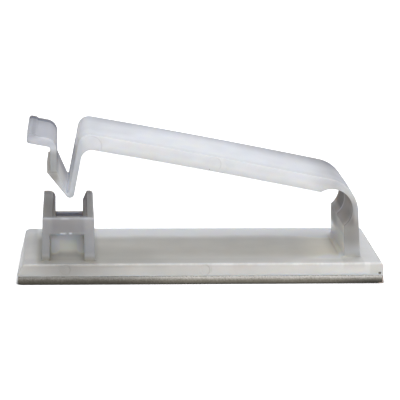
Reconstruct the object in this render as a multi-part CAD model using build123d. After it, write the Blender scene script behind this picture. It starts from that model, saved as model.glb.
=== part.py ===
from build123d import *
import os
from math import atan, cos, hypot, radians, sin, tan

# Cable clip with an adhesive foam foot. Millimetres, +X from the latch to the hinge, +Y to the back, +Z up.
# The origin is the centre of the underside.

# Cable bay, between the catch and the hinge post
bay_length = 35.59
hinge_height = 6.93

# Foot: plate, foam pad and release liner
plate_width = 22.0
plate_thickness = 1.8
plate_latch_margin = 3.5
plate_hinge_margin = 2.94
plate_end_lean = 0.85
plate_back_lean = 0.4
plate_end_bevel = 0.25
plate_bevel_drop = 0.45
plate_back_corner = 0.9
plate_corner = 0.25
edge_round = 0.15
pad_thickness = 1.08
pad_inset = 0.15
pad_corner = 0.45
liner_thickness = 0.12
liner_inset = 0.5
liner_turn_gap = 0.03
liner_turn_height = 1.0

# Hinge: a post that rolls over into the strap round a scalloped thin wall
hinge_radius = 3.02
hinge_wall = 0.8
hinge_bend_lead = 0.95
post_thickness = 1.92
post_lean = 0.45
post_inner_lean = 0.1
foot_round = 0.35

# Strap, as moulded, tilted open
strap_angle = 10.7
strap_width = 15.2
strap_thickness = 2.12
strap_bow = 0.15
strap_clear = 2.2
draft_angle = 0.5

# Latch at the strap's end: two legs that meet in a wedge, with a barb and a thumb tab
front_leg_thickness = 0.78
back_leg_thickness = 0.93
latch_width = 3.93
latch_length = 8.04
wedge_tip_wall = 0.96
wedge_step = 0.15
barb_level = 4.1
barb_reach = 0.44
barb_fall = 0.12
tip_round = 0.62
valley_round = 0.14
strap_bend_round = 1.65
strap_inner_round = 1.5
tab_length = 3.12
tab_thickness = 1.2
tab_level = 0.525
tab_bend_round = 1.7
tab_corner_round = 0.4
lip_width = 1.1
lip_height = 0.15

# Catch: a box that takes the wedge, closed by a high web in front and a low one behind
latch_play = 0.06
latch_overclose = 0.54
barb_room = 0.3
catch_roof = 2.4
catch_end_wall = 1.08
catch_bay_wall = 1.6
catch_lean = 0.1
catch_corner_round = 0.5
cavity_draft = 0.12
web_thickness = 1.2
web_play = 0.4
web_overlap = 0.75
lead_round = 1.0
lead_width = 0.57
lead_depth = 1.35

# Ejector pin marks on the front faces
mark_depth = 0.05
bend_mark = 3.0
bend_mark_place = 0.9
strap_mark = 2.3
plate_mark = 1.5

# Places that follow from the sizes above, heights counted from the plate's top face
angle = radians(strap_angle)
plate_top = liner_thickness + pad_thickness + plate_thickness
throat_width = latch_width + 2 * latch_play
catch_length = catch_end_wall + barb_reach + barb_room + throat_width + catch_bay_wall
post_foot_reach = post_thickness + post_lean
plate_length = plate_latch_margin + catch_length + bay_length + post_foot_reach + plate_hinge_margin
catch_end_x = plate_latch_margin - plate_length / 2
catch_bay_x = catch_end_x + catch_length
throat_right_x = catch_bay_x - catch_bay_wall
throat_left_x = throat_right_x - throat_width
post_inner_x = catch_bay_x + bay_length
plate_top_start = plate_end_lean - plate_length / 2
plate_mark_places = (throat_left_x + 1.4, bay_length * 0.02)
pad_hinge_inset = liner_turn_gap + liner_thickness
post_outer_x = post_inner_x + post_thickness
hinge_x = post_outer_x - hinge_wall - hinge_radius
catch_depth = strap_width + 2 * (web_play + web_thickness)
closed_underside = hinge_height + strap_clear - (hinge_radius + hinge_wall / 2) * sin(angle)
ledge_height = closed_underside - barb_level - latch_overclose
catch_height = ledge_height + catch_roof
back_web_height = ledge_height - web_overlap
strap_reach = (hinge_x + strap_clear * sin(angle) - throat_right_x + latch_play) / cos(angle)
barb_root = (
    hinge_x + (strap_clear - barb_level) * sin(angle) - (strap_reach + latch_width) * cos(angle),
    hinge_height + (strap_clear - barb_level) * cos(angle) + (strap_reach + latch_width) * sin(angle),
)


def strap_point(along, above):
    """A point counted along the strap's underside from over the hinge, and square above it."""
    x = hinge_x + (strap_clear + above) * sin(angle) - along * cos(angle)
    z = hinge_height + (strap_clear + above) * cos(angle) + along * sin(angle)
    return (x, z)


def strap_point_at(x, above):
    """The point at x on the line that runs parallel to the strap's underside."""
    along = (hinge_x + (strap_clear + above) * sin(angle) - x) / cos(angle)
    return strap_point(along, above)


def crossing(start, direction, point, heading):
    """Where two lines meet, each given by a point and a direction."""
    across = direction[0] * heading[1] - direction[1] * heading[0]
    reach = ((point[0] - start[0]) * heading[1] - (point[1] - start[1]) * heading[0]) / across
    return (start[0] + reach * direction[0], start[1] + reach * direction[1])


def rounded(sketch, point, radius):
    """Rounds the corner of a flat shape that lies nearest to a point."""
    corner = sketch.vertices().sort_by_distance((point[0], point[1], 0))[0]
    return fillet(corner, radius)


def standing(sketch):
    """Sets a flat shape upright in the XZ plane, with its base line on the plate's top face."""
    return Pos(0, 0, plate_top) * (Plane.XZ * sketch)


def between(front_sketch, front, back_sketch, back):
    """A solid that runs straight from one standing shape to another like it."""
    start = front_sketch.faces()[0].outer_wire().moved(Pos(0, front, 0))
    end = back_sketch.faces()[0].outer_wire().moved(Pos(0, back, 0))
    return Solid.make_loft([start, end], ruled=True)


def drafted(sketch, width):
    """A standing shape with mould draft: widest at the parting line at mid depth, true to size in front and behind."""
    grown = width / 2 * tan(radians(draft_angle))
    middle = sketch.faces()[0].outer_wire().offset_2d(grown, kind=Kind.INTERSECTION)
    half = between(sketch, -width / 2, make_face(middle), 0)
    return half + mirror(half, about=Plane.XZ)


def straight(sketch, front, back):
    """Extrudes a standing shape from one depth to another."""
    return Pos(0, back, 0) * extrude(sketch, amount=back - front)


def pin_mark(point, depth, diameter):
    """The shallow round print of an ejector pin on a face that looks to the front."""
    print_disc = Rot(90, 0, 0) * Cylinder(diameter / 2, 2 * mark_depth)
    return Pos(point[0], depth, plate_top + point[1]) * print_disc


def plate_outline(height, inset):
    """The plate's outline seen from above, at a height over its underside."""
    depth = plate_thickness - height
    latch_front = plate_top_start - plate_end_lean * depth / plate_thickness + inset
    latch_back = plate_top_start - plate_back_lean * depth / plate_thickness + inset
    hinge_end = plate_length / 2 - plate_end_bevel * max(0, 1 - depth / plate_bevel_drop) - inset
    side = plate_width / 2 - inset
    corners = [(latch_front, -side), (hinge_end, -side), (hinge_end, side), (latch_back, side)]
    outline = make_face(Polyline(*corners, close=True))
    for corner in corners[:3]:
        outline = rounded(outline, corner, plate_corner)
    outline = rounded(outline, corners[3], plate_back_corner)
    return (Pos(0, 0, plate_top - depth) * outline).faces()[0].outer_wire()


def plate():
    levels = [
        plate_outline(0, 0),
        plate_outline(plate_thickness - plate_bevel_drop, 0),
        plate_outline(plate_thickness - edge_round, 0),
        plate_outline(plate_thickness, edge_round),
    ]
    slab = Solid.make_loft(levels, ruled=True)
    for x in plate_mark_places:
        slab -= pin_mark((x, -plate_thickness / 2), -plate_width / 2, plate_mark)
    return slab


def arm_outline():
    post_lines = post_lean / hinge_height
    end_slope = atan(4 * strap_bow / strap_reach)
    bend_start = strap_point(hinge_bend_lead, strap_thickness)
    strap_heading = (cos(angle + end_slope), -sin(angle + end_slope))
    post_heading = (post_lines, -1)
    corner = crossing(bend_start, strap_heading, (post_outer_x, hinge_height), post_heading)
    reach = hypot(corner[0] - bend_start[0], corner[1] - bend_start[1])
    post_unit = hypot(*post_heading)
    bend_end = (corner[0] + reach * post_heading[0] / post_unit, corner[1] - reach / post_unit)

    leg_x = barb_root[0] + back_leg_thickness
    wedge_top = (leg_x, barb_root[1] + wedge_step)
    valley = strap_point(strap_reach + front_leg_thickness, wedge_tip_wall - latch_length)
    tip = strap_point(strap_reach, -latch_length)
    barb = (barb_root[0] - barb_reach, barb_root[1] - barb_fall)
    strap_end = strap_point(strap_reach + front_leg_thickness, strap_thickness)
    strap_corner = strap_point(strap_reach, 0)
    tab_bend = strap_point_at(leg_x, tab_level)
    tab_root = strap_point_at(barb_root[0], tab_level - tab_thickness)
    tab_end = (hinge_x + (strap_clear + tab_level) * sin(angle) - barb_root[0] + tab_length) / cos(angle)
    lip_top = tab_level + lip_height
    lip_root = tab_end - lip_width - lip_height
    tab_foot = strap_point(tab_end, tab_level - tab_thickness)

    sunk = -plate_thickness / 2
    flare = 2 * foot_round
    outer_foot = (post_outer_x + post_lean, 0)
    inner_foot = (post_inner_x + post_inner_lean, 0)
    middle = strap_reach / 2
    lines = [
        Polyline(
            (post_inner_x, hinge_height),
            (post_inner_x, hinge_height - hinge_radius),
            inner_foot,
            (inner_foot[0] - flare, 0),
            (inner_foot[0] - flare, sunk),
            (outer_foot[0] + flare, sunk),
            (outer_foot[0] + flare, 0),
            outer_foot,
            bend_end,
        ),
        TangentArc(bend_start, bend_end, tangent=strap_heading),
        ThreePointArc(bend_start, strap_point(middle, strap_thickness + strap_bow), strap_end),
        Polyline(
            strap_end,
            valley,
            wedge_top,
            tab_bend,
            strap_point(lip_root, tab_level),
            strap_point(lip_root + lip_height, lip_top),
            strap_point(tab_end, lip_top),
            tab_foot,
            tab_root,
            barb_root,
            barb,
            tip,
            strap_corner,
        ),
        ThreePointArc(strap_corner, strap_point(middle, strap_bow), strap_point(0, 0)),
        Line(strap_point(0, 0), (post_inner_x, hinge_height)),
    ]
    outline = make_face(Wire(Curve(children=lines).edges()))
    for point, radius in (
        (inner_foot, foot_round),
        (outer_foot, foot_round),
        (strap_end, strap_bend_round),
        (valley, valley_round),
        (tab_bend, tab_bend_round),
        (strap_point(tab_end, lip_top), tab_corner_round),
        (tab_foot, tab_corner_round),
        (tab_root, foot_round),
        (tip, tip_round),
        (strap_corner, strap_inner_round),
    ):
        outline = rounded(outline, point, radius)
    return outline - Pos(hinge_x, hinge_height) * Circle(hinge_radius)


def catch_outline():
    flare = 2 * foot_round
    sunk = -plate_thickness / 2
    outline = make_face(
        Polyline(
            (catch_end_x - flare, sunk),
            (catch_end_x - flare, 0),
            (catch_end_x, 0),
            (catch_end_x + catch_lean, catch_height),
            (catch_bay_x - catch_lean, catch_height),
            (catch_bay_x, 0),
            (catch_bay_x + flare, 0),
            (catch_bay_x + flare, sunk),
            close=True,
        )
    )
    outline = rounded(outline, (catch_end_x, 0), foot_round)
    outline = rounded(outline, (catch_bay_x, 0), foot_round)
    outline = rounded(outline, (catch_end_x + catch_lean, catch_height), edge_round)
    return rounded(outline, (catch_bay_x - catch_lean, catch_height), catch_corner_round)


def throat_outline():
    over = catch_height + lead_round
    outline = make_face(
        Polyline(
            (throat_left_x, back_web_height),
            (throat_left_x, catch_height),
            (throat_left_x - lead_round, catch_height),
            (throat_left_x - lead_round, over),
            (throat_right_x + lead_width, over),
            (throat_right_x + lead_width, catch_height),
            (throat_right_x, catch_height - lead_depth),
            (throat_right_x, back_web_height),
            close=True,
        )
    )
    return rounded(outline, (throat_left_x, catch_height), lead_round * 0.95)


def cavity_outline():
    left = throat_left_x - barb_reach - barb_room
    right = throat_right_x + cavity_draft
    return Pos((left + right) / 2, ledge_height / 2) * Rectangle(right - left, ledge_height)


def catch():
    front = -catch_depth / 2
    back = catch_depth / 2
    box = straight(standing(catch_outline()), front, back)
    throat = straight(standing(throat_outline()), front + web_thickness, back + web_thickness)
    cavity = straight(standing(cavity_outline()), front - web_thickness, back - web_thickness)
    return box - throat - cavity


def arm():
    """Post, hinge, strap, latch and tab, with the ejector pins' marks on the front."""
    body = drafted(standing(arm_outline()), strap_width)
    bend = strap_point(strap_reach - bend_mark_place, strap_thickness / 2)
    middle = strap_point(strap_reach * 0.47, strap_thickness / 2)
    body -= pin_mark(bend, -strap_width / 2, bend_mark)
    return body - pin_mark(middle, -strap_width / 2, strap_mark)


def clip_body():
    return plate() + arm() + catch()


def foam_pad():
    """Foam under the plate, its latch end following the plate's and rounded below."""
    front = -plate_length / 2 + pad_inset
    back = front + plate_end_lean - plate_back_lean
    side = plate_width / 2 - pad_inset
    hinge_end = plate_length / 2 - pad_hinge_inset
    outline = make_face(
        Polyline((front, -side), (hinge_end, -side), (hinge_end, side), (back, side), close=True)
    )
    pad = Pos(0, 0, liner_thickness) * extrude(outline, amount=pad_thickness)
    corner = pad.edges().sort_by_distance(((front + back) / 2, 0, liner_thickness))[0]
    return fillet(corner, pad_corner)


def release_liner():
    """Thin sheet under the foam, turned up against the foam's hinge end as a pull tab."""
    outside = plate_length / 2
    inside = outside - liner_thickness
    start = liner_inset - plate_length / 2
    outline = make_face(
        Polyline(
            (start, 0),
            (outside, 0),
            (outside, liner_turn_height),
            (inside, liner_turn_height),
            (inside, liner_thickness),
            (start, liner_thickness),
            close=True,
        )
    )
    side = plate_width / 2 - pad_inset
    return straight(Plane.XZ * outline, -side, side)


os.makedirs("parts", exist_ok=True)
export_step(clip_body(), "parts/clip_body.step")
export_step(foam_pad(), "parts/foam_pad.step")
export_step(release_liner(), "parts/release_liner.step")
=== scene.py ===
from math import radians

import bpy
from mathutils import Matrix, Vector

# Adhesive cable clip: natural nylon moulding on a foam pad. X runs from latch to hinge, Z up.
# Lengths are in metres, and those said to be in millimetres are multiplied by mm.
# A pair whose name ends in Fade holds the two places between which a shade changes.
mm = 0.001

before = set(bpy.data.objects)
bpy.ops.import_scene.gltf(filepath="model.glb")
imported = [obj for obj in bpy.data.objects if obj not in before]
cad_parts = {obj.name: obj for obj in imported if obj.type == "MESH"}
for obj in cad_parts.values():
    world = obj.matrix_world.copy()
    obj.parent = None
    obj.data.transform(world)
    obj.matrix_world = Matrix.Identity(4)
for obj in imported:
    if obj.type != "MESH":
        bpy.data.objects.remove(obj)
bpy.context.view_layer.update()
print("model loaded:", ", ".join(sorted(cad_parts)))


def newMaterial(name):
    material = bpy.data.materials.new(name)
    material.use_nodes = True
    material.node_tree.nodes.clear()
    return material, material.node_tree.nodes, material.node_tree.links


def feed(links, target, socket, source):
    if hasattr(source, "is_output"):
        links.new(source, target.inputs[socket])
    else:
        target.inputs[socket].default_value = source


def mathNode(nodes, links, operation, first, second=None):
    node = nodes.new("ShaderNodeMath")
    node.operation = operation
    feed(links, node, 0, first)
    if second is not None:
        feed(links, node, 1, second)
    return node.outputs[0]


def product(nodes, links, first, *others):
    for other in others:
        first = mathNode(nodes, links, "MULTIPLY", first, other)
    return first


def offsetFrom(nodes, links, axis, middle):
    return mathNode(nodes, links, "ABSOLUTE", mathNode(nodes, links, "SUBTRACT", axis, middle))


def ramp(nodes, links, source, low, high, toLow=0.0, toHigh=1.0, smooth=False):
    node = nodes.new("ShaderNodeMapRange")
    node.interpolation_type = "SMOOTHSTEP" if smooth else "LINEAR"
    links.new(source, node.inputs["Value"])
    node.inputs["From Min"].default_value = low
    node.inputs["From Max"].default_value = high
    node.inputs["To Min"].default_value = toLow
    node.inputs["To Max"].default_value = toHigh
    return node.outputs["Result"]


def blendColour(nodes, links, kind, factor, first, second):
    node = nodes.new("ShaderNodeMix")
    node.data_type = "RGBA"
    node.blend_type = kind
    feed(links, node, 0, factor)
    feed(links, node, 6, first if hasattr(first, "is_output") else (*first, 1.0))
    feed(links, node, 7, second if hasattr(second, "is_output") else (*second, 1.0))
    return node.outputs[2]


def colourRamp(nodes, links, source, stops):
    node = nodes.new("ShaderNodeValToRGB")
    links.new(source, node.inputs[0])
    elements = node.color_ramp.elements
    for number, (position, colour) in enumerate(stops):
        stop = elements[number] if number < 2 else elements.new(0.5)
        stop.position = position
        stop.color = (*colour, 1)
    return node.outputs[0]


def noise(nodes, links, place, scale, detail=2.0, roughness=0.5):
    node = nodes.new("ShaderNodeTexNoise")
    links.new(place, node.inputs["Vector"])
    node.inputs["Scale"].default_value = scale
    node.inputs["Detail"].default_value = detail
    node.inputs["Roughness"].default_value = roughness
    return node.outputs["Fac"]


def distance(nodes, links, first, second):
    sides = nodes.new("ShaderNodeCombineXYZ")
    links.new(first, sides.inputs[0])
    links.new(second, sides.inputs[1])
    length = nodes.new("ShaderNodeVectorMath")
    length.operation = "LENGTH"
    links.new(sides.outputs[0], length.inputs[0])
    return length.outputs["Value"]


def objectPlace(nodes, links):
    place = nodes.new("ShaderNodeTexCoord").outputs["Object"]
    split = nodes.new("ShaderNodeSeparateXYZ")
    links.new(place, split.inputs[0])
    return place, split.outputs


def openness(nodes, links, look):
    node = nodes.new("ShaderNodeAmbientOcclusion")
    node.samples = look["samples"]
    node.inputs["Distance"].default_value = look["reach"]
    return node.outputs["AO"]


def addBump(nodes, links, shader, height, look, normal=None):
    bump = nodes.new("ShaderNodeBump")
    bump.inputs["Strength"].default_value = look["strength"]
    bump.inputs["Distance"].default_value = look["height"]
    links.new(height, bump.inputs["Height"])
    if normal is not None:
        links.new(normal, bump.inputs["Normal"])
    links.new(bump.outputs[0], shader.inputs["Normal"])


def addOutput(nodes, links, shader):
    output = nodes.new("ShaderNodeOutputMaterial")
    links.new(shader.outputs[0], output.inputs["Surface"])


# soft boxes of painted shade and painted light on the moulding, and a dirt mark and a speck: two corners
# and the blur of the sides, in millimetres, and a tint that multiplies the nylon's colour; a matte box
# also has no gloss
nylonZones = {
    # catch box and its webs: painted shade, painted light inside the window and at its foot, painted
    # glints on the window's top edge and a painted highlight along the front web's top
    "catch": {"low": (-23.0, -12, 3.1), "high": (-14.6, 12, 10), "blur": (0.3, 1, 0.5),
              "tint": (0.437, 0.432, 0.428)},
    "catchSides": {"low": (-23.0, -9.0, 3.3), "high": (-22.48, 12, 9.0), "blur": (0.05, 0.1, 0.2),
                   "tint": (1.5, 1.5, 1.5)},
    "catchRight": {"low": (-16.6, -12, 3.1), "high": (-14.6, 12, 10), "blur": (0.3, 1, 0.5),
                   "tint": (1.10, 1.10, 1.11)},
    "catchWeb": {"low": (-21.0, -12, 6.9), "high": (-16.4, -7.5, 9.5), "blur": (0.3, 0.5, 0.5),
                 "tint": (0.88, 0.88, 0.90)},
    "catchFoot": {"low": (-23.0, -12, 3.35), "high": (-14.6, -8.5, 4.0), "blur": (0.3, 0.5, 0.3),
                  "tint": (1.22, 1.21, 1.19)},
    "catchRims": {"low": (-23.0, -9.0, 8.9), "high": (-14.6, 12, 10), "blur": (0.3, 0.1, 0.15),
                  "tint": (0.58, 0.57, 0.56)},
    "catchTopBack": {"low": (-16.1, 1.5, 8.9), "high": (-14.6, 12, 10), "blur": (0.1, 3, 0.15),
                     "tint": (0.75, 0.75, 0.75)},
    "catchBack": {"low": (-23.0, 6.5, 5.0), "high": (-14.6, 12, 10), "blur": (0.3, 1.5, 0.5),
                  "tint": (0.45, 0.46, 0.48)},
    "leadLeft": {"low": (-20.95, -9.0, 6.0), "high": (-20.3, 12, 10), "blur": (0.08, 0.1, 0.5),
                 "tint": (1.06, 1.05, 1.05), "matte": True},
    "leadRight": {"low": (-17.1, -9.0, 6.0), "high": (-16.02, 12, 10), "blur": (0.06, 0.1, 0.5),
                  "tint": (1.10, 1.08, 1.07), "matte": True},
    "webEdge": {"low": (-22.3, -12, 8.95), "high": (-15.0, -9.08, 9.4), "blur": (0.1, 0.04, 0.08),
                "tint": (1.12, 1.12, 1.14)},
    "webMiddle": {"low": (-19.7, -12, 8.95), "high": (-18.6, -9.08, 9.4), "blur": (0.3, 0.04, 0.08),
                  "tint": (1.25, 1.25, 1.25)},
    "glintLeft": {"low": (-19.85, -12, 6.84), "high": (-19.05, -9.0, 7.10), "blur": (0.25, 0.04, 0.05),
                  "tint": (2.4, 2.4, 2.4)},
    "glintRight": {"low": (-18.6, -12, 6.84), "high": (-18.2, -9.0, 7.12), "blur": (0.15, 0.04, 0.05),
                   "tint": (2.6, 2.6, 2.6)},
    "window": {"low": (-21.1, -4.0, 2.0), "high": (-16.4, 6.0, 7.0), "blur": (0.2, 2.6, 0.3),
               "tint": (1.95, 1.93, 1.87)},
    "catchInside": {"low": (-21.25, -7.75, 3.2), "high": (-16.3, 6.9, 7.6), "blur": (0.15, 0.15, 0.3),
                    "tint": (2.4, 2.4, 2.4)},
    "webFoot": {"low": (-21.2, 6.6, 2.9), "high": (-16.4, 9.0, 5.0), "blur": (0.2, 0.2, 0.5),
                "tint": (3.2, 3.2, 3.1)},
    "windowSides": {"low": (-21.3, -4.5, 2.0), "high": (-20.3, 6.0, 6.6), "blur": (0.4, 3.0, 0.3),
                    "tint": (1.9, 1.9, 1.9)},
    "windowRight": {"low": (-17.2, -4.5, 2.0), "high": (-16.3, 6.0, 6.6), "blur": (0.4, 3.0, 0.3),
                    "tint": (1.9, 1.9, 1.9)},
    "windowJamb": {"low": (-21.32, -9.2, 3.2), "high": (-21.12, 5.0, 6.8), "blur": (0.04, 0.2, 0.2),
                   "tint": (2.0, 2.0, 2.0)},
    "throatWeb": {"low": (-20.5, 7.0, 3.2), "high": (-16.6, 8.5, 6.25), "blur": (0.2, 0.3, 0.2),
                  "tint": (0.74, 0.92, 1.25)},
    # hinge post and scallop: painted shade, with painted light inside the post's foot
    "postFront": {"low": (20.2, -12, 4.2), "high": (23.2, -7.3, 9.2), "blur": (0.2, 0.2, 1.4),
                  "tint": (0.56, 0.55, 0.53)},
    "postFoot": {"low": (20.2, -12, 2.9), "high": (23.2, -7.3, 5.0), "blur": (0.2, 0.2, 1.4),
                 "tint": (0.74, 0.74, 0.73)},
    "postShade": {"low": (20.2, -12, 7.9), "high": (22.0, -7.3, 10.2), "blur": (0.3, 0.2, 0.6),
                  "tint": (0.68, 0.675, 0.67)},
    "postMiddle": {"low": (20.2, -12, 5.0), "high": (23.2, -7.3, 8.6), "blur": (0.2, 0.2, 1.0),
                   "tint": (0.76, 0.75, 0.73)},
    "hingeFront": {"low": (20.6, -12, 9.2), "high": (23.5, -7.3, 12.2), "blur": (0.4, 0.2, 1.4),
                   "tint": (0.56, 0.55, 0.54)},
    "postNeck": {"low": (20.2, -7.5, 5.6), "high": (21.8, 12, 8.4), "blur": (0.2, 0.2, 0.9),
                 "tint": (0.96, 0.94, 0.91), "matte": True},
    "scallopFront": {"low": (19.0, -7.5, 7.5), "high": (22.0, -3.5, 9.4), "blur": (0.2, 2.5, 0.5),
                     "tint": (0.70, 0.70, 0.70)},
    "postBack": {"low": (20.2, 1.0, 4.2), "high": (21.0, 12, 8.4), "blur": (0.2, 2.5, 0.9),
                 "tint": (0.66, 0.66, 0.66)},
    "postEdge": {"low": (20.2, 6.9, 3.5), "high": (21.9, 12, 10), "blur": (0.2, 0.12, 0.5),
                 "tint": (0.58, 0.58, 0.59)},
    "postInside": {"low": (20.2, -7.2, 3.0), "high": (21.5, 12, 5.3), "blur": (0.2, 0.2, 1.0),
                   "tint": (1.75, 1.70, 1.60)},
    "postCorner": {"low": (16.5, -8.5, 2.0), "high": (20.9, 8, 3.2), "blur": (3.0, 1.0, 0.1),
                   "tint": (1.55, 1.53, 1.46)},
    # foot plate: painted light and painted shade
    "plateLip": {"low": (-16, -12, 1.0), "high": (26, -10.6, 1.42), "blur": (4, 0.1, 0.15),
                 "tint": (1.18, 1.18, 1.17)},
    "plateEnd": {"low": (-27, -8.5, 2.5), "high": (-23.0, 8, 3.1), "blur": (0.5, 1.5, 0.1),
                 "tint": (1.05, 1.05, 1.04)},
    "plateNook": {"low": (-24.6, -8, 2.5), "high": (-22.4, 9, 3.1), "blur": (0.6, 1.5, 0.1),
                  "tint": (1.16, 1.16, 1.15)},
    "plateMiddle": {"low": (-14, -3, 2.5), "high": (12, 6, 3.1), "blur": (3, 2, 0.1),
                    "tint": (0.95, 0.95, 0.95)},
    "plateRight": {"low": (9, -7, 2.5), "high": (16, 0, 3.1), "blur": (4, 2, 0.1),
                   "tint": (1.10, 1.10, 1.09)},
    "plateFront": {"low": (-14, -10.6, 2.5), "high": (12, -8.0, 3.1), "blur": (2, 0.8, 0.1),
                   "tint": (0.87, 0.87, 0.87)},
    "plateLeft": {"low": (-16, -11, 2.5), "high": (-6, -2, 3.1), "blur": (3, 3, 0.1),
                  "tint": (0.85, 0.85, 0.84)},
    # strap and its bends: painted shade toward the back and at the bends, painted light on the front face
    "strapBack": {"low": (-16.5, 7.0, 11), "high": (23, 12, 24), "blur": (2, 5.0, 1),
                  "tint": (0.45, 0.46, 0.51)},
    "strapBackLeft": {"low": (-16.5, 4.0, 11), "high": (-7.0, 12, 24), "blur": (3, 4.0, 1),
                      "tint": (0.72, 0.73, 0.76)},
    "strapBackMiddle": {"low": (-6, 4.5, 11), "high": (8, 12, 24), "blur": (3, 3.5, 1),
                        "tint": (0.81, 0.81, 0.82)},
    "strapBackRight": {"low": (9.0, 3.0, 11), "high": (23, 12, 24), "blur": (4, 4.0, 1),
                       "tint": (0.62, 0.63, 0.66)},
    "strapRight": {"low": (9, -7.4, 11), "high": (20, 12, 24), "blur": (5, 0.1, 1),
                   "tint": (0.92, 0.92, 0.92)},
    "strapRim": {"low": (-16.5, 6.9, 11), "high": (23, 12, 24), "blur": (2, 0.5, 1),
                 "tint": (0.88, 0.88, 0.89)},
    "strapFront": {"low": (-16.5, -12, 11), "high": (23, -6.2, 24), "blur": (2, 0.8, 1),
                   "tint": (0.86, 0.855, 0.85)},
    "strapFace": {"low": (-16.5, -12, 11), "high": (20, -7.48, 24), "blur": (1, 0.06, 1),
                  "tint": (1.07, 1.07, 1.07)},
    "strapEnd": {"low": (17.5, -12, 12), "high": (21.0, 12, 24), "blur": (3, 1, 1),
                 "tint": (0.65, 0.65, 0.66)},
    "bendTop": {"low": (18.0, -5.5, 11), "high": (26, 12, 24), "blur": (2, 2.5, 1),
                "tint": (0.80, 0.80, 0.81)},
    "bendOuter": {"low": (19.8, -7.3, 10), "high": (26, 12, 19.5), "blur": (1.5, 0.15, 1.5),
                  "tint": (1.0, 1.0, 1.0), "matte": True},
    "strapStart": {"low": (-16.5, -12, 18), "high": (-14.0, 12, 24), "blur": (2, 1, 1),
                   "tint": (0.89, 0.89, 0.90)},
    "strapStartTop": {"low": (-16.5, -4, 18), "high": (-9, 5, 24), "blur": (2, 4, 1),
                      "tint": (0.90, 0.90, 0.90)},
    # thumb tab: painted shade, with painted light on its front face
    "tab": {"low": (-26, -12, 19.0), "high": (-19.5, 12, 24), "blur": (1, 1, 0.5),
            "tint": (0.49, 0.505, 0.55)},
    "tabFront": {"low": (-26, -12, 19.0), "high": (-19.5, -7.3, 24), "blur": (1, 0.1, 0.5),
                 "tint": (1.32, 1.31, 1.28)},
    "tabFrontTop": {"low": (-26, -12, 20.45), "high": (-22.5, -6.9, 24), "blur": (0.6, 0.2, 0.4),
                    "tint": (0.60, 0.60, 0.61)},
    "tabBack": {"low": (-26, 3.5, 19.0), "high": (-19.5, 12, 24), "blur": (1, 5.0, 0.5),
                "tint": (0.48, 0.49, 0.52)},
    "tabFar": {"low": (-26, 5.2, 19.0), "high": (-19.5, 12, 24), "blur": (1, 0.6, 0.5),
               "tint": (0.60, 0.61, 0.65), "matte": True},
    "tabStep": {"low": (-23.75, -7.2, 20.6), "high": (-23.25, 12, 24), "blur": (0.12, 0.3, 0.2),
                "tint": (0.68, 0.69, 0.72)},
    "tabLip": {"low": (-26, -6.5, 20.6), "high": (-23.7, 12, 24), "blur": (0.1, 0.3, 0.2),
               "tint": (0.80, 0.81, 0.82)},
    # latch legs and wedge: painted shade and painted light
    "leg": {"low": (-22.5, -12, 14.2), "high": (-20.0, 12, 18.6), "blur": (0.5, 1, 0.8),
            "tint": (0.475, 0.475, 0.462)},
    "legSpot": {"low": (-21.6, -12, 17.9), "high": (-21.15, -7.0, 18.7), "blur": (0.15, 0.3, 0.3),
                "tint": (0.66, 0.66, 0.66)},
    "legEdge": {"low": (-20.45, -7.7, 14.6), "high": (-20.05, 0, 18.2), "blur": (0.12, 0.3, 0.6),
                "tint": (0.86, 0.86, 0.87)},
    "legLine": {"low": (-21.9, -12, 15.39), "high": (-20.2, -7.3, 15.55), "blur": (0.1, 0.2, 0.05),
                "tint": (0.78, 0.78, 0.76)},
    "legRight": {"low": (-18.7, -12, 11.5), "high": (-16.4, -7.3, 16.5), "blur": (0.3, 0.2, 1.5),
                 "tint": (0.82, 0.82, 0.81)},
    "legInside": {"low": (-18.2, -7.3, 13.5), "high": (-16.2, 12, 17.2), "blur": (0.2, 0.15, 1.2),
                  "tint": (0.97, 0.97, 0.98), "matte": True},
    "wedge": {"low": (-22.5, -12, 12.6), "high": (-18.9, 12, 15.0), "blur": (0.6, 1, 0.8),
              "tint": (0.65, 0.64, 0.625)},
    "wedgeTip": {"low": (-20.2, -12, 10.5), "high": (-16.8, -7.3, 12.6), "blur": (0.5, 0.2, 0.6),
                 "tint": (0.86, 0.85, 0.84)},
    "notchFace": {"low": (-20.5, -7.3, 11.5), "high": (-18.2, 1.0, 16.0), "blur": (0.3, 3.0, 1.0),
                  "tint": (1.25, 1.23, 1.18)},
    "notchInside": {"low": (-21.0, -7.3, 11.5), "high": (-18.4, 12, 19), "blur": (0.2, 0.15, 0.8),
                    "tint": (0.95, 0.94, 0.94), "matte": True},
    "latchBack": {"low": (-22.5, 2.0, 12.0), "high": (-16.0, 12, 19.5), "blur": (0.5, 5.5, 0.8),
                  "tint": (0.74, 0.75, 0.78)},
    "latchRim": {"low": (-22.5, 6.7, 12.0), "high": (-16.0, 12, 19.5), "blur": (0.5, 0.2, 0.8),
                 "tint": (0.42, 0.43, 0.47)},
    # dirt on the foot's end and a speck on the strap
    "dirt": {"low": (25.20, -12, 1.36), "high": (25.58, -10.5, 1.66), "blur": (0.08, 0.2, 0.08),
             "tint": (0.20, 0.18, 0.15)},
    "speck": {"low": (1.14, -12, 15.77), "high": (1.28, -7.4, 15.92), "blur": (0.05, 0.1, 0.05),
              "tint": (0.45, 0.44, 0.42)},
}

# a box side at or past these values is left open, because the body ends there
bodyReach = {"low": (-26, -12, 1), "high": (26, 12, 24)}


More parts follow.
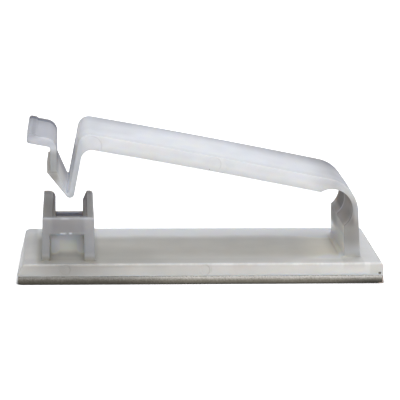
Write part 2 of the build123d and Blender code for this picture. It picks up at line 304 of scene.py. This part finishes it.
def softBox(nodes, links, axes, zone):
    mask = None
    for number, axis in enumerate(axes):
        low, high, blur = zone["low"][number], zone["high"][number], zone["blur"][number]
        openLow, openHigh = low <= bodyReach["low"][number], high >= bodyReach["high"][number]
        if openLow and openHigh:
            continue
        if openLow:
            side = ramp(nodes, links, axis, (high - blur) * mm, (high + blur) * mm, 1.0, 0.0, smooth=True)
        elif openHigh:
            side = ramp(nodes, links, axis, (low - blur) * mm, (low + blur) * mm, smooth=True)
        else:
            off = offsetFrom(nodes, links, axis, (low + high) / 2 * mm)
            half = (high - low) / 2
            side = ramp(nodes, links, off, (half - blur) * mm, (half + blur) * mm, 1.0, 0.0, smooth=True)
        mask = side if mask is None else product(nodes, links, mask, side)
    return mask


# painted shade and painted light on the plate: the strap's shadow at the front, lighter at the back, along
# the front toward the hinge and low on the narrow side
footLook = {
    "front": (0.575, 0.560, 0.505),  # yellower where the strap shades the plate
    "back": (0.975, 0.97, 0.955),
    "backFade": (0.0030, 0.0072),
    "right": (0.78, 0.77, 0.74),  # along the front, toward the hinge
    "rightFade": (-0.016, 0.022),
    "frontFade": (-0.004, -0.009),
    "ends": (0.62, 0.615, 0.605),
    "hingeEndFade": (0.0205, 0.0235),
    "latchEndFade": (-0.0228, -0.0236),
    # the plate's narrow side: places along it in millimetres, and its painted light there, darkest in the
    # catch's shade
    "rim": ((-25.9, 0.60), (-22.0, 0.50), (-19.5, 0.42), (-12.0, 0.60), (-4.0, 0.645), (8.0, 0.70),
            (24.0, 0.78)),
    "rimWarmth": (1.0, 0.993, 0.982),
    "rimLength": 0.0518,
    "rimLow": (1.17, 1.16, 1.12),  # lighter toward the foam
    "rimLowFade": (0.0030, 0.0012),
    "rimFade": (-0.0103, -0.0107),
    # painted highlight in patches along the front top edge
    "patchTint": (1.12, 1.12, 1.12),
    "patchNoise": (420, 3, 0.7),
    "patchFade": (0.42, 0.58),
    "edgeFade": (-0.01058, -0.01072),
    "edgeTopFade": (0.00262, 0.00278),
}


def rimTone(nodes, links, across, up):
    length = footLook["rimLength"]
    stops = []
    for spot, level in footLook["rim"]:
        stops.append(((spot * mm + length / 2) / length, [level * part for part in footLook["rimWarmth"]]))
    along = colourRamp(nodes, links, ramp(nodes, links, across, -length / 2, length / 2), stops)
    low = ramp(nodes, links, up, *footLook["rimLowFade"])
    return blendColour(nodes, links, "MULTIPLY", low, along, footLook["rimLow"])


def footTone(nodes, links, across, deep, up):
    back = ramp(nodes, links, deep, *footLook["backFade"], smooth=True)
    tone = blendColour(nodes, links, "MIX", back, footLook["front"], footLook["back"])
    right = ramp(nodes, links, across, *footLook["rightFade"])
    front = ramp(nodes, links, deep, *footLook["frontFade"], smooth=True)
    tone = blendColour(nodes, links, "MIX", product(nodes, links, right, front), tone, footLook["right"])
    latchEnd = ramp(nodes, links, across, *footLook["latchEndFade"], smooth=True)
    hingeEnd = ramp(nodes, links, across, *footLook["hingeEndFade"], smooth=True)
    ends = mathNode(nodes, links, "MAXIMUM", latchEnd, hingeEnd)
    tone = blendColour(nodes, links, "MIX", ends, tone, footLook["ends"])
    rim = ramp(nodes, links, deep, *footLook["rimFade"], smooth=True)
    tone = blendColour(nodes, links, "MIX", rim, tone, rimTone(nodes, links, across, up))
    # painted highlight in patches along the front top edge
    stretched = nodes.new("ShaderNodeCombineXYZ")
    links.new(across, stretched.inputs[0])
    grain = noise(nodes, links, stretched.outputs[0], *footLook["patchNoise"])
    patches = ramp(nodes, links, grain, *footLook["patchFade"])
    edge = ramp(nodes, links, deep, *footLook["edgeFade"])
    edgeTop = ramp(nodes, links, up, *footLook["edgeTopFade"])
    edgeHighlight = product(nodes, links, edge, edgeTop, patches)
    return blendColour(nodes, links, "MULTIPLY", edgeHighlight, tone, footLook["patchTint"])


# painted shade in the scallop against the thin wall beside it, darker toward its top, and behind the
# parting line painted lighter low down and darker high up; the mould's parting line across it is lighter
scallopLook = {
    "axis": (0.018725, 0.00993),
    "reachFade": (0.00306, 0.00318),
    "rightFade": (0.0002, 0.0008),
    "sideFade": (0.00755, 0.00758),
    "low": (0.74, 0.73, 0.715),
    "high": (0.37, 0.365, 0.365),
    "riseFade": (-0.0020, 0.0005),
    "behindLow": (1.50, 1.50, 1.50),
    "behindHigh": (0.72, 0.72, 0.72),
    "behindRiseFade": (-0.0021, -0.0015),
    "behindFade": (0.0007, 0.0013),
    "line": 0.0007,
    "lineFade": (0.00020, 0.00045),
    "lineTint": (1.45, 1.45, 1.47),
}


def scallopMask(nodes, links, sideways, rise, deep):
    away = distance(nodes, links, sideways, rise)
    near = ramp(nodes, links, away, *scallopLook["reachFade"], 1.0, 0.0)
    right = ramp(nodes, links, sideways, *scallopLook["rightFade"])
    fromMiddle = mathNode(nodes, links, "ABSOLUTE", deep)
    inside = ramp(nodes, links, fromMiddle, *scallopLook["sideFade"], 1.0, 0.0)
    return product(nodes, links, near, right, inside)


def scallopShade(nodes, links, across, deep, up, tone):
    sideways = mathNode(nodes, links, "SUBTRACT", across, scallopLook["axis"][0])
    rise = mathNode(nodes, links, "SUBTRACT", up, scallopLook["axis"][1])
    mask = scallopMask(nodes, links, sideways, rise, deep)
    climb = ramp(nodes, links, rise, *scallopLook["riseFade"])
    shade = blendColour(nodes, links, "MIX", climb, scallopLook["low"], scallopLook["high"])
    climb = ramp(nodes, links, rise, *scallopLook["behindRiseFade"])
    backTone = blendColour(nodes, links, "MIX", climb, scallopLook["behindLow"], scallopLook["behindHigh"])
    behind = ramp(nodes, links, deep, *scallopLook["behindFade"])
    shade = blendColour(nodes, links, "MULTIPLY", behind, shade, backTone)
    tone = blendColour(nodes, links, "MULTIPLY", mask, tone, shade)
    off = offsetFrom(nodes, links, deep, scallopLook["line"])
    line = ramp(nodes, links, off, *scallopLook["lineFade"], 1.0, 0.0, smooth=True)
    onLine = product(nodes, links, mask, line)
    return blendColour(nodes, links, "MULTIPLY", onLine, tone, scallopLook["lineTint"]), mask


# painted light on the strap's front, lighter and warmer toward its slanting lower edge
strapEdge = {
    "slope": 0.1909,
    "heightFade": (0.01748, 0.01598),
    "startFade": (-0.0168, -0.0150),
    "frontFade": (-0.0072, -0.0074),
    "aboveBayFade": (0.0105, 0.0115),
    "tint": (1.32, 1.28, 1.20),
}


def strapEdgeShade(nodes, links, across, deep, up, tone):
    above = mathNode(nodes, links, "ADD", up, product(nodes, links, across, strapEdge["slope"]))
    low = ramp(nodes, links, above, *strapEdge["heightFade"], smooth=True)
    onStrap = ramp(nodes, links, across, *strapEdge["startFade"])
    onFront = ramp(nodes, links, deep, *strapEdge["frontFade"])
    aboveBay = ramp(nodes, links, up, *strapEdge["aboveBayFade"])
    lowEdge = product(nodes, links, low, onStrap)
    frontFace = product(nodes, links, onFront, aboveBay)
    mask = product(nodes, links, lowEdge, frontFace)
    return blendColour(nodes, links, "MULTIPLY", mask, tone, strapEdge["tint"])


# rings of the ejector pins on the front faces, in millimetres; open is where the left side fades out
pinRings = {
    "bend": {"x": -15.43, "z": 19.15, "radius": 1.42, "front": -7.3, "open": 0.0,
             "tint": (0.88, 0.875, 0.88)},
    "strap": {"x": 1.77, "z": 16.55, "radius": 1.05, "front": -7.3, "open": 0.2,
              "tint": (0.90, 0.89, 0.89)},
    "plateMiddle": {"x": 0.45, "z": 2.05, "radius": 0.75, "front": -10.7, "open": 0.2,
                    "tint": (0.80, 0.79, 0.79)},
    "plateLeft": {"x": -19.2, "z": 2.15, "radius": 0.75, "front": -10.7, "open": 0.3,
                  "tint": (0.92, 0.91, 0.91)},
}
ringLook = {"lineFade": (0.00004, 0.00012), "frontBlur": 0.0001, "openFade": (-0.001, 0.0006)}


def ringShade(nodes, links, across, deep, up, tone):
    for ring in pinRings.values():
        sideways = mathNode(nodes, links, "SUBTRACT", across, ring["x"] * mm)
        away = distance(nodes, links, sideways, mathNode(nodes, links, "SUBTRACT", up, ring["z"] * mm))
        off = offsetFrom(nodes, links, away, ring["radius"] * mm)
        line = ramp(nodes, links, off, *ringLook["lineFade"], 1.0, 0.0, smooth=True)
        front, opening = ring["front"] * mm, ring["open"] * mm
        onFront = ramp(nodes, links, deep, front, front - ringLook["frontBlur"])
        start, end = ringLook["openFade"]
        rightward = ramp(nodes, links, sideways, start + opening, end + opening)
        mask = product(nodes, links, line, onFront, rightward)
        tone = blendColour(nodes, links, "MULTIPLY", mask, tone, ring["tint"])
    return tone


# the back faces take the front faces' shades, so their depth is turned to the front
mirrorLook = {
    "armBack": 0.00755,
    "catchBack": 0.00913,
    "plateBack": 0.01088,
    "blur": 0.00003,
    "catchTopFade": (0.0100, 0.0105),
    "catchBayFade": (-0.010, -0.009),
    "plateTopFade": (0.00312, 0.00318),
}


def mirrorDepth(nodes, links, deep, back):
    past = mathNode(nodes, links, "SUBTRACT", deep, back)
    return product(nodes, links, deep, ramp(nodes, links, past, 0.0, mirrorLook["blur"], 1.0, -1.0))


def armDepth(nodes, links, across, deep, up):
    belowTop = ramp(nodes, links, up, *mirrorLook["catchTopFade"], 1.0, 0.0)
    beforeBay = ramp(nodes, links, across, *mirrorLook["catchBayFade"], 1.0, 0.0)
    inCatch = product(nodes, links, belowTop, beforeBay)
    back = ramp(nodes, links, inCatch, 0.0, 1.0, mirrorLook["armBack"], mirrorLook["catchBack"])
    # in the plate the back lies a metre further, so that nothing is turned there
    inPlate = ramp(nodes, links, up, *mirrorLook["plateTopFade"], 1.0, 0.0)
    return mirrorDepth(nodes, links, deep, mathNode(nodes, links, "ADD", back, inPlate))


nylonLook = {
    "white": (0.845, 0.868, 0.918),  # strap, hinge and latch
    "lightest": (0.92, 0.915, 0.905),
    "scatter": 1.0,
    "depth": 0.005,  # how far light travels inside
    "spread": (1.0, 0.8, 0.6),
    "footSpread": (0.24, 0.20, 0.16),  # the foam below soaks up light, so the plate looks denser
    "footFade": (0.00302, 0.0040),
    "roughness": 0.38,
    "matteRoughness": 0.95,  # faces that lie against the latch or the strap's bend
    "ior": 1.45,
    "edge": 0.00014,  # rounding of the moulded edges
    "edgeSamples": 6,
    "grain": (1800, 3),
    "wave": (220, 2),
    "waveShare": 4.0,
    "bump": {"strength": 0.35, "height": 0.00002},
    "cloud": (260, 3),
    "cloudFade": (0.3, 0.7),
    "cloudRange": (0.95, 1.04),
}

# painted shade in the creases above the foot, a little darker
creviceLook = {
    "samples": 8,
    "reach": 0.003,
    "tint": (0.85, 0.85, 0.86),
    "openFade": (0.05, 0.55),
    "heightFade": (0.0095, 0.0115),
}


def creviceShade(nodes, links, up, tone):
    gap = openness(nodes, links, creviceLook)
    closed = ramp(nodes, links, gap, *creviceLook["openFade"], 1.0, 0.0, smooth=True)
    closed = product(nodes, links, closed, ramp(nodes, links, up, *creviceLook["heightFade"]))
    return blendColour(nodes, links, "MULTIPLY", closed, tone, creviceLook["tint"])


# slight cloudiness, and no lighter than the nylon can be
def cloudShade(nodes, links, place, tone):
    grain = noise(nodes, links, place, *nylonLook["cloud"])
    cloud = ramp(nodes, links, grain, *nylonLook["cloudFade"], *nylonLook["cloudRange"])
    shade = nodes.new("ShaderNodeVectorMath")
    shade.operation = "SCALE"
    links.new(tone, shade.inputs[0])
    links.new(cloud, shade.inputs["Scale"])
    limit = nodes.new("ShaderNodeVectorMath")
    limit.operation = "MINIMUM"
    links.new(shade.outputs[0], limit.inputs[0])
    limit.inputs[1].default_value = nylonLook["lightest"]
    return limit.outputs[0]


def nylonTone(nodes, links, place, axes, inFoot):
    across, deep, up = axes
    faceDeep = armDepth(nodes, links, across, deep, up)
    plateDeep = mirrorDepth(nodes, links, deep, mirrorLook["plateBack"])
    plateTone = footTone(nodes, links, across, plateDeep, up)
    tone = blendColour(nodes, links, "MIX", inFoot, nylonLook["white"], plateTone)
    tone, matte = scallopShade(nodes, links, across, deep, up, tone)
    for zone in nylonZones.values():
        mask = softBox(nodes, links, (across, faceDeep, up), zone)
        tone = blendColour(nodes, links, "MULTIPLY", mask, tone, zone["tint"])
        if "matte" in zone:
            matte = mathNode(nodes, links, "MAXIMUM", matte, mask)
    tone = strapEdgeShade(nodes, links, across, faceDeep, up, tone)
    tone = ringShade(nodes, links, across, deep, up, tone)
    tone = creviceShade(nodes, links, up, tone)
    return cloudShade(nodes, links, place, tone), matte


def nylonMaterial():
    material, nodes, links = newMaterial("naturalNylon")
    place, axes = objectPlace(nodes, links)
    inFoot = ramp(nodes, links, axes[2], *nylonLook["footFade"], 1.0, 0.0, smooth=True)
    tone, matte = nylonTone(nodes, links, place, axes, inFoot)
    shader = nodes.new("ShaderNodeBsdfPrincipled")
    links.new(tone, shader.inputs["Base Color"])
    shader.inputs["Subsurface Weight"].default_value = nylonLook["scatter"]
    spread = blendColour(nodes, links, "MIX", inFoot, nylonLook["spread"], nylonLook["footSpread"])
    links.new(spread, shader.inputs["Subsurface Radius"])
    shader.inputs["Subsurface Scale"].default_value = nylonLook["depth"]
    roughness = ramp(nodes, links, matte, 0.0, 1.0, nylonLook["roughness"], nylonLook["matteRoughness"])
    links.new(roughness, shader.inputs["Roughness"])
    shader.inputs["IOR"].default_value = nylonLook["ior"]

    soft = nodes.new("ShaderNodeBevel")
    soft.samples = nylonLook["edgeSamples"]
    soft.inputs["Radius"].default_value = nylonLook["edge"]
    grain = noise(nodes, links, place, *nylonLook["grain"])
    wave = product(nodes, links, noise(nodes, links, place, *nylonLook["wave"]), nylonLook["waveShare"])
    relief = mathNode(nodes, links, "ADD", grain, wave)
    addBump(nodes, links, shader, relief, nylonLook["bump"], soft.outputs[0])
    addOutput(nodes, links, shader)
    return material


foamLook = {
    # heights in millimetres and how light the foam is there, from the floor up to the plate
    "layers": ((0.10, (0.160, 0.148, 0.120)), (0.35, (0.230, 0.215, 0.178)), (0.60, (0.360, 0.340, 0.295)),
               (0.85, (0.50, 0.48, 0.435)), (1.08, (0.90, 0.88, 0.85))),
    "top": 1.2,  # the layers are spread up to this height
    # painted shade under the catch
    "left": (0.48, 0.48, 0.475),  # darker under the catch
    "leftFade": (-0.002, -0.0125),
    "right": (0.38, 0.39, 0.42),  # darker at the bottom near the liner's fold
    "rightFade": (0.017, 0.024),
    "rightLowFade": (0.0010, 0.0002),
    # noise that makes the layers' heights uneven
    "speckle": (3200, 4, 0.75),
    "speckleLift": 0.0006,
    "drift": (420, 2),
    "driftLift": 0.0003,
    "sink": 0.00045,
    "cells": 4200,
    "bump": {"strength": 0.8, "height": 0.00006},
    "roughness": 0.85,
    "specular": 0.3,
}


def foamMaterial():
    material, nodes, links = newMaterial("blackFoam")
    place, axes = objectPlace(nodes, links)
    across, up = axes[0], axes[2]
    height = up
    for kind in ("speckle", "drift"):
        lift = product(nodes, links, noise(nodes, links, place, *foamLook[kind]), foamLook[kind + "Lift"])
        height = mathNode(nodes, links, "ADD", height, lift)
    height = mathNode(nodes, links, "SUBTRACT", height, foamLook["sink"])
    top = foamLook["top"]
    stops = [(level / top, colour) for level, colour in foamLook["layers"]]
    tone = colourRamp(nodes, links, ramp(nodes, links, height, 0.0, top * mm), stops)
    toLeft = ramp(nodes, links, across, *foamLook["leftFade"])
    tone = blendColour(nodes, links, "MULTIPLY", toLeft, tone, foamLook["left"])
    toRight = ramp(nodes, links, across, *foamLook["rightFade"], smooth=True)
    lowRight = product(nodes, links, toRight, ramp(nodes, links, up, *foamLook["rightLowFade"]))
    tone = blendColour(nodes, links, "MULTIPLY", lowRight, tone, foamLook["right"])
    shader = nodes.new("ShaderNodeBsdfPrincipled")
    links.new(tone, shader.inputs["Base Color"])
    shader.inputs["Roughness"].default_value = foamLook["roughness"]
    shader.inputs["Specular IOR Level"].default_value = foamLook["specular"]
    cells = nodes.new("ShaderNodeTexVoronoi")
    links.new(place, cells.inputs["Vector"])
    cells.inputs["Scale"].default_value = foamLook["cells"]
    addBump(nodes, links, shader, cells.outputs["Distance"], foamLook["bump"])
    addOutput(nodes, links, shader)
    return material


linerLook = {
    "paper": (0.50, 0.38, 0.32),
    "fibre": (0.62, 0.50, 0.43),
    "fibreNoise": (3000, 4, 0.7),
    "fibreFade": (0.35, 0.65),
    # painted shade of the foam along the liner's long edges
    "edge": (0.05, 0.046, 0.04),  # long edges, dark under the foam
    "edgeFade": (0.0098, 0.0102),
    "foldFade": (0.0252, 0.0254),
    "roughness": 0.6,
    "bump": {"strength": 0.3, "height": 0.00002},
}


def linerMaterial():
    material, nodes, links = newMaterial("linerPaper")
    place, axes = objectPlace(nodes, links)
    across, deep = axes[0], axes[1]
    fibre = noise(nodes, links, place, *linerLook["fibreNoise"])
    fibre = ramp(nodes, links, fibre, *linerLook["fibreFade"])
    tone = blendColour(nodes, links, "MIX", fibre, linerLook["paper"], linerLook["fibre"])
    border = ramp(nodes, links, mathNode(nodes, links, "ABSOLUTE", deep), *linerLook["edgeFade"])
    lying = ramp(nodes, links, across, *linerLook["foldFade"], 1.0, 0.0)
    tone = blendColour(nodes, links, "MIX", product(nodes, links, border, lying), tone, linerLook["edge"])
    shader = nodes.new("ShaderNodeBsdfPrincipled")
    links.new(tone, shader.inputs["Base Color"])
    shader.inputs["Roughness"].default_value = linerLook["roughness"]
    addBump(nodes, links, shader, fibre, linerLook["bump"])
    addOutput(nodes, links, shader)
    return material


def dress(node, material):
    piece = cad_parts[node]
    piece.data.materials.clear()
    piece.data.materials.append(material)


dress("clip_body", nylonMaterial())
dress("foam_pad", foamMaterial())
dress("release_liner", linerMaterial())
print("materials set")


studio = {
    "floorSize": 3.0,
    "floorGlow": 0.9,
    "floorColour": (0.8, 0.8, 0.8),
    # painted contact shadow: the dark line where the liner meets the floor
    "contact": {"samples": 8, "reach": 0.0011, "openFade": (0.52, 0.80), "glow": 0.02,
                "colour": (0.02, 0.02, 0.02)},
    "world": 0.05,
    "aim": (0, 0, 0.01),
    "lampSize": 0.30,
    "lamps": {
        "topLamp": {"place": (0.0, 0.0, 0.51), "power": 0.91, "colour": (0.86, 0.91, 1.0)},
        "frontLamp": {"place": (0.0, -0.32, 0.39), "power": 0.81, "colour": (1.0, 0.97, 0.93)},
        "lowLamp": {"place": (0.0, -0.489, 0.114), "power": 0.77, "colour": (1.0, 0.98, 0.95)},
        "backLamp": {"place": (0.12, 0.30, 0.38), "power": 0.66, "colour": (0.93, 0.95, 1.0)},
    },
    "camera": {
        "sensor": 36.0,
        "lens": 179.24,
        "clip": (0.01, 10.0),
        "place": (-0.018268, -0.282603, 0.071889),
        "turn": (77.6249, -0.6612, -3.6382),
    },
}


# rays that show the pale background: the camera's, and those seen in gloss or through the object
def seenRays(nodes, links):
    path = nodes.new("ShaderNodeLightPath")
    seen = mathNode(nodes, links, "MAXIMUM", path.outputs["Is Camera Ray"], path.outputs["Is Glossy Ray"])
    return mathNode(nodes, links, "MAXIMUM", seen, path.outputs["Is Transmission Ray"])


def floorMaterial():
    material, nodes, links = newMaterial("paleFloor")
    seen = seenRays(nodes, links)
    contact = studio["contact"]
    bare = ramp(nodes, links, openness(nodes, links, contact), *contact["openFade"], contact["glow"], 1.0)
    matte = nodes.new("ShaderNodeBsdfDiffuse")
    tone = blendColour(nodes, links, "MIX", bare, contact["colour"], studio["floorColour"])
    links.new(tone, matte.inputs["Color"])
    glow = nodes.new("ShaderNodeEmission")
    level = product(nodes, links, bare, studio["floorGlow"])
    links.new(product(nodes, links, seen, level), glow.inputs["Strength"])
    both = nodes.new("ShaderNodeAddShader")
    links.new(matte.outputs[0], both.inputs[0])
    links.new(glow.outputs[0], both.inputs[1])
    addOutput(nodes, links, both)
    return material


def buildFloor():
    half = studio["floorSize"] / 2
    mesh = bpy.data.meshes.new("floor")
    corners = [(-half, -half, 0), (half, -half, 0), (half, half, 0), (-half, half, 0)]
    mesh.from_pydata(corners, [], [(0, 1, 2, 3)])
    mesh.materials.append(floorMaterial())
    floor = bpy.data.objects.new("floor", mesh)
    bpy.context.scene.collection.objects.link(floor)


def buildWorld():
    world = bpy.data.worlds.new("whiteRoom")
    bpy.context.scene.world = world
    world.use_nodes = True
    nodes, links = world.node_tree.nodes, world.node_tree.links
    nodes.clear()
    strength = ramp(nodes, links, seenRays(nodes, links), 0.0, 1.0, studio["world"], 1.0)
    back = nodes.new("ShaderNodeBackground")
    links.new(strength, back.inputs["Strength"])
    output = nodes.new("ShaderNodeOutputWorld")
    links.new(back.outputs[0], output.inputs["Surface"])


def addLamp(name, look):
    data = bpy.data.lights.new(name, "AREA")
    data.shape = "DISK"
    data.size = studio["lampSize"]
    data.energy = look["power"]
    data.color = look["colour"]
    lamp = bpy.data.objects.new(name, data)
    lamp.location = look["place"]
    aim = Vector(studio["aim"]) - Vector(look["place"])
    lamp.rotation_euler = aim.to_track_quat("-Z", "Y").to_euler()
    bpy.context.scene.collection.objects.link(lamp)


def addCamera():
    look = studio["camera"]
    data = bpy.data.cameras.new("camera")
    data.sensor_width = look["sensor"]
    data.lens = look["lens"]
    data.clip_start, data.clip_end = look["clip"]
    camera = bpy.data.objects.new("camera", data)
    camera.location = look["place"]
    camera.rotation_euler = [radians(turn) for turn in look["turn"]]
    bpy.context.scene.collection.objects.link(camera)
    bpy.context.scene.camera = camera


buildFloor()
buildWorld()
for lampName, lampLook in studio["lamps"].items():
    addLamp(lampName, lampLook)
addCamera()
bpy.context.scene.view_settings.view_transform = "Standard"
print("stage, lamps and camera set")
